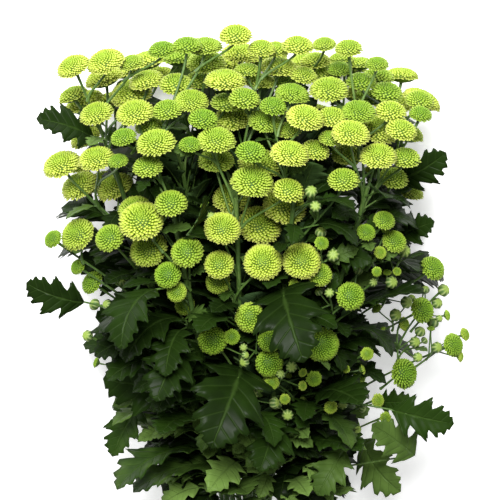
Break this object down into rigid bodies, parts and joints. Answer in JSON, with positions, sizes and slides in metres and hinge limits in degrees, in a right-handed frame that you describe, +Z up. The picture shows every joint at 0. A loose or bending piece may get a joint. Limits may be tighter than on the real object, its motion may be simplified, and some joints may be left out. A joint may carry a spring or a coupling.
{
  "type": "bunch of pompon chrysanthemums",
  "caption": "Cut green pompon chrysanthemums in a bunch lying on its side: branching sprays of small domed flowers, buds and lobed leaves, with bare stems held by a rubber band.",
  "frame": {"origin": "under the middle of the bunch, on the surface that it lies on", "axes": "+Y along the bunch from the cut ends to the flowers, +Z up, +X to the right as seen from above with the flowers away from the viewer"},
  "size_m": [0.3396, 0.6144, 0.2049],
  "materials": {
    "florets": "soft, matte, lime green petals",
    "leaves": "dull dark green leaf with paler veins",
    "stems": "smooth green stem",
    "rubber": "matte natural rubber"
  },
  "bodies": {
    "root": {"spray_01": "florets", "spray_02": "florets", "spray_03": "florets", "spray_04": "florets", "spray_05": "florets", "spray_06": "florets", "spray_07": "florets", "spray_08": "florets", "spray_09": "florets", "spray_10": "florets", "spray_11": "florets", "spray_12": "florets", "spray_13": "florets", "spray_14": "florets", "spray_15": "florets", "spray_16": "florets", "band": "rubber"}
  },
  "joints": []
}
